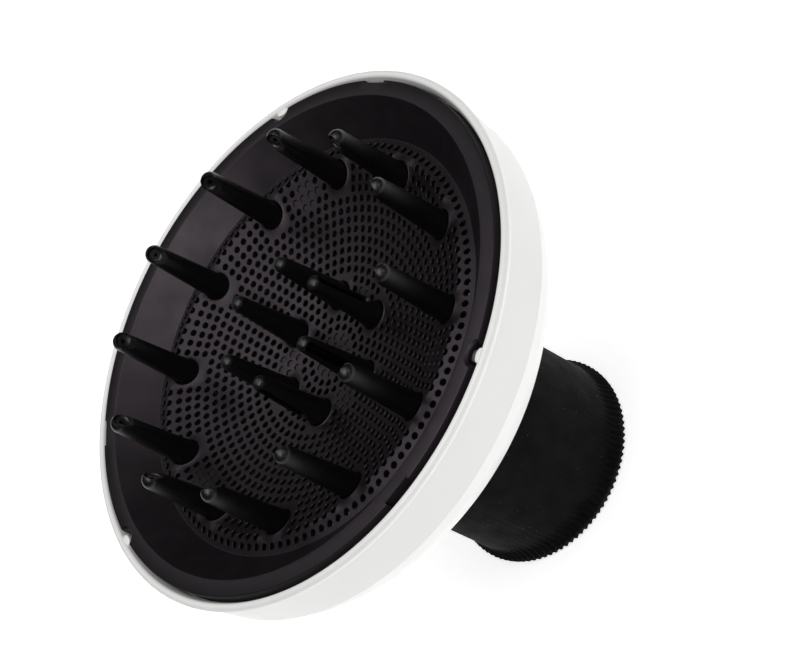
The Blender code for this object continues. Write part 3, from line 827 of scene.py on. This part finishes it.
def slot_cutter(face_z, tip_z):
    """Cutter for the inner finger's slot, flared where it breaks through the outside."""
    slot_low = tip_z - SLOT_SHARE * (tip_z - face_z)
    slot_high = tip_z - SLOT_TOP_DROP
    taper = (INNER_ROOT_R - INNER_TIP_R) / (tip_z - face_z)
    levels = ((0.0004, 0.0, False), (-0.00095, 0.0, True), (0.0006, SLOT_FLARE, True),
              (0.0040, SLOT_FLARE, True))    # depth, flare, whether depth is from the surface

    def build(bm):
        rows = []
        for depth, flare, follows_surface in levels:
            row = []
            for y, z in stadium(SLOT_HALF + flare, slot_low - flare, slot_high + 0.6 * flare):
                surface = INNER_TIP_R + taper * (tip_z - z) if follows_surface else 0.0
                row.append(bm.verts.new((surface + depth, y, z)))
            rows.append(row)
        for first, second in zip(rows, rows[1:]):
            bridge(bm, first, second)
        bm.faces.new(rows[0])
        bm.faces.new(rows[-1])
    return mesh_from("slot", build)


def inner_finger_mesh():
    """Hollow finger with a closed round tip and a long bevelled slot down its outward side."""
    face_z = plate_height(INNER_RING_R)
    tip_z = FLANGE_Z + INNER_TIP_RISE
    stop_top = face_z - STOP_SINK
    bore_tip, bore_root = INNER_BORE
    dome_centre = (INNER_TIP_R - INNER_DOME_ROUND, tip_z - INNER_DOME_ROUND)
    dome = arc(dome_centre, INNER_DOME_ROUND, 90, 5, 8)
    outline = [(0.0, tip_z)] + dome
    outline += filleted([
        (*dome[-1], 0.0), (INNER_ROOT_R, face_z, 0.0), (INNER_ROOT_R, stop_top, 0.0),
        (STOP_R, stop_top, 0.0002), (STOP_R, stop_top - STOP_THICK, 0.0002),
        (bore_root, stop_top - STOP_THICK, 0.0)])[1:]
    outline += [(bore_tip, tip_z - 0.0019), (bore_tip - 0.0005, tip_z - 0.0012), (0.0, tip_z - 0.0011)]
    blank = turned_mesh("inner_finger", outline, FINGER_STEPS)
    return combined(blank, [(slot_cutter(face_z, tip_z), Matrix.Identity(4))], "DIFFERENCE")


def add_fingers(label, mesh, count, phase, radius, material):
    for number, angle in enumerate(ring_angles(count, phase), 1):
        node = f"{label}_finger_{number:02d}"
        show(f"{label}_prong_{number:02d}", mesh.copy(), material, "insert", [node],
             ring_matrix(radius, angle))


# ---------------------------------------------------------------- baffle and screws
def add_baffle(material):
    seat = BAFFLE_SEAT_Z
    back = seat - BAFFLE_THICK
    outline = filleted([
        (0.0, seat - BAFFLE_NOSE * 0.75, 0.0), (0.0095, seat - BAFFLE_NOSE * 0.35, 0.001),
        (0.0125, seat, 0.0005), (BAFFLE_SEAT_R, seat, 0.001), (BAFFLE_R, BAFFLE_RIM_Z, 0.0004),
        (BAFFLE_R, BAFFLE_RIM_Z - BAFFLE_THICK, 0.0004), (BAFFLE_SEAT_R, back, 0.001),
        (0.0115, back, 0.001), (0.0080, seat - BAFFLE_NOSE, 0.001), (0.0, BAFFLE_END_Z, 0.0)], 5)
    hole = turned_mesh("hole", [(0.0, back - OVERCUT), (SCREW_HOLE_R, back - OVERCUT),
                                (SCREW_HOLE_R, seat + OVERCUT), (0.0, seat + OVERCUT)], 32)
    baffle = combined(turned_mesh("baffle", outline, 144),
                      around_ring(hole, TRIO, 0.0, POST_RING_R), "DIFFERENCE")
    show("air_deflector", baffle, material, "insert", ["air_baffle"])


def screw_mesh():
    """Pan-head screw with a turned thread and a cross recess."""
    head_top = SCREW_HEAD_Z + SCREW_HEAD_THICK
    root_r = SCREW_SHANK_R - THREAD_DEPTH
    thread = []
    level = head_top + THREAD_PITCH
    while level < SCREW_TIP_Z - 0.0018:
        thread += [(root_r, level, 0.0), (SCREW_SHANK_R, level + THREAD_PITCH / 2, 0.0)]
        level += THREAD_PITCH
    outline = [(0.0, SCREW_TIP_Z, 0.0), (root_r, SCREW_TIP_Z - 0.0014, 0.0)]
    outline += list(reversed(thread))
    outline += [(SCREW_SHANK_R, head_top, 0.0), (SCREW_HEAD_R, head_top, 0.0001),
                (SCREW_HEAD_R, SCREW_HEAD_Z + 0.0006, 0.0004),
                (SCREW_HEAD_R - 0.0008, SCREW_HEAD_Z, 0.0004), (0.0, SCREW_HEAD_Z, 0.0)]
    long_half, short_half, recess = RECESS_SIZE
    slots = []
    for half in ((long_half, short_half), (short_half, long_half)):
        cut = box_mesh("recess", (-half[0], -half[1], SCREW_HEAD_Z - OVERCUT / 2),
                       (half[0], half[1], SCREW_HEAD_Z + recess))
        slots.append((cut, Matrix.Identity(4)))
    return combined(turned_mesh("screw", filleted(outline), 40), slots, "DIFFERENCE")


def add_screws(material):
    mesh = screw_mesh()
    for number, angle in enumerate(ring_angles(TRIO), 1):
        show(f"pan_head_screw_{number}", mesh.copy(), material, "insert", [f"baffle_screw_{number}"],
             ring_matrix(POST_RING_R, angle))


# ---------------------------------------------------------------- collar
def collar_outline():
    socket_end = NECK_END_Z - GAP
    stop_end = socket_end - COLLAR_STOP_THICK
    socket_r = NECK_R + GAP
    steps = 14
    flare = [(COLLAR_R + (BAND_R - COLLAR_R) * (i / steps) ** FLARE_BEND,
              FLARE_TOP + (BAND_TOP - FLARE_TOP) * i / steps, 0.0) for i in range(steps)]
    return filleted([
        (COLLAR_R, COLLAR_TOP_Z, 0.0005), *flare, (BAND_R, BAND_TOP, 0.0008),
        (COLLAR_RIM_R, 0.0, 0.0007), (COLLAR_MOUTH_R, 0.0, 0.0005),
        (COLLAR_BORE_R, MOUTH_DEPTH, 0.001), (COLLAR_BORE_R, stop_end - STOP_RAMP, 0.0),
        (COLLAR_STOP_R, stop_end, 0.0003), (COLLAR_STOP_R, socket_end, 0.0003),
        (socket_r, socket_end, 0.0), (socket_r, COLLAR_TOP_Z, 0.0004)], 4)


def add_collar(material):
    def ribbed(radius, level, angle):
        if radius <= COLLAR_R or level > FLARE_TOP:
            return radius, level
        groove = (0.5 - 0.5 * math.cos(RIB_COUNT * angle)) ** 0.8
        return radius - min(RIB_DEPTH, radius - COLLAR_R) * groove, level
    mesh = turned_mesh("collar", collar_outline(), RIB_COUNT * RIB_COLUMNS, ribbed)
    show("ribbed_collar", mesh, material, "collar", ["push_on_collar"])


# ---------------------------------------------------------------- stage, lights and camera
def add_floor():
    floor_mesh = mesh_from("floor", lambda bm: bmesh.ops.create_grid(
        bm, x_segments=4, y_segments=4, size=FLOOR_HALF))
    floor = bpy.data.objects.new("floor", floor_mesh)
    bpy.context.scene.collection.objects.link(floor)
    make = Recipe("floor_paint")
    tone = make.mix(make.ramp(make.noise(0.35, 2.0), 0.3, 0.7), (0.90, 0.90, 0.90), (0.93, 0.93, 0.93))
    gloss = make.ramp(make.noise(0.05, 2.0), 0.3, 0.7, 0.85, 0.95)
    make.shader.inputs["Emission Color"].default_value = (1.0, 1.0, 1.0, 1.0)
    make.shader.inputs["Emission Strength"].default_value = FLOOR_GLOW
    make.material.cycles.emission_sampling = "NONE"
    floor_mesh.materials.append(make.finish(tone, gloss, make.bump(make.noise(0.01), 0.00001)))


def add_softbox(name, azimuth, elevation, size, radiance):
    """Square soft light that faces the diffuser; angles in degrees, radiance in W/m2/sr."""
    lamp = bpy.data.lights.new(name, "AREA")
    lamp.shape = "SQUARE"
    lamp.size = size
    lamp.energy = radiance * math.pi * size * size
    box = bpy.data.objects.new(name, lamp)
    turn, rise = math.radians(azimuth), math.radians(elevation)
    toward = on_ring(math.cos(rise), turn, math.sin(rise))
    box.location = Vector(LIGHT_AIM) + toward * LIGHT_DISTANCE
    box.rotation_euler = (-toward).to_track_quat("-Z", "Y").to_euler()
    box.visible_camera = False
    bpy.context.scene.collection.objects.link(box)


def add_world():
    """Pale backdrop to look at, which lights the diffuser only faintly."""
    world = bpy.data.worlds.new("studio")
    world.use_nodes = True
    nodes = world.node_tree.nodes
    links = world.node_tree.links
    backdrop = nodes["Background"]
    backdrop.inputs["Color"].default_value = (1.0, 1.0, 1.0, 1.0)
    backdrop.inputs["Strength"].default_value = 1.0
    fill = nodes.new("ShaderNodeBackground")
    fill.inputs["Color"].default_value = (1.0, 1.0, 1.0, 1.0)
    fill.inputs["Strength"].default_value = FILL_STRENGTH
    path = nodes.new("ShaderNodeLightPath")
    mix = nodes.new("ShaderNodeMixShader")
    links.new(path.outputs["Is Camera Ray"], mix.inputs["Fac"])
    links.new(fill.outputs["Background"], mix.inputs[1])
    links.new(backdrop.outputs["Background"], mix.inputs[2])
    links.new(mix.outputs["Shader"], nodes["World Output"].inputs["Surface"])
    bpy.context.scene.world = world


def show_true_colours():
    bpy.context.scene.view_settings.view_transform = "Standard"


def add_camera():
    position = Vector((0.0237194, -0.5051086, 0.4913337))
    forward = Vector((-0.013188, 0.773984, -0.633068)).normalized()
    up = Vector((0.8772, 0.3129, 0.3643))
    right = forward.cross(up).normalized()
    up = right.cross(forward)
    lens = bpy.data.cameras.new("camera")
    lens.sensor_fit = "HORIZONTAL"
    lens.sensor_width = 36.0
    lens.lens = 97.8155
    lens.clip_start = 0.01
    lens.clip_end = 50.0
    camera = bpy.data.objects.new("camera", lens)
    turn = Matrix((right, up, -forward)).transposed().to_4x4()
    camera.matrix_world = Matrix.Translation(position) @ turn
    bpy.context.scene.collection.objects.link(camera)
    bpy.context.scene.camera = camera


white = moulded("white_moulding", (0.865, 0.865, 0.85), (0.85, 0.85, 0.835), 0.33, 0.0000015,
                ((0.55, 0.52, 0.47), 0.0110, 0.00022, 0.06))
# Charcoal: its darkness is the plastic's own; the purple tint in its colours and in its specular tint is
# painted pinkish room light.
charcoal = moulded("charcoal_moulding", (0.0030, 0.0021, 0.0028), (0.0024, 0.0017, 0.0023), 0.47, 0.000012,
                   ((0.30, 0.30, 0.29), 0.0060, 0.00028, 0.07), (0.82, 0.70, 0.79))
black = moulded("black_moulding", (0.0046, 0.0043, 0.0045), (0.0038, 0.0036, 0.0038), 0.33, 0.000004,
                ((0.25, 0.22, 0.14), 0.0055, 0.00024, 0.06), (0.82, 0.80, 0.82))
rubber = soft_rubber("rubber_moulding")
steel = zinc("zinc_plate")

add_collar(rubber)
add_bowl(white)
add_insert(charcoal)
add_posts(charcoal)
add_baffle(black)
add_fingers("outer", outer_finger_mesh(), OUTER_COUNT, 0.0, OUTER_RING_R, black)
add_fingers("inner", inner_finger_mesh(), INNER_COUNT, INNER_PHASE, INNER_RING_R, black)
add_screws(steel)

add_floor()
add_world()
for softbox in SOFTBOXES:
    add_softbox(*softbox)
add_camera()
show_true_colours()
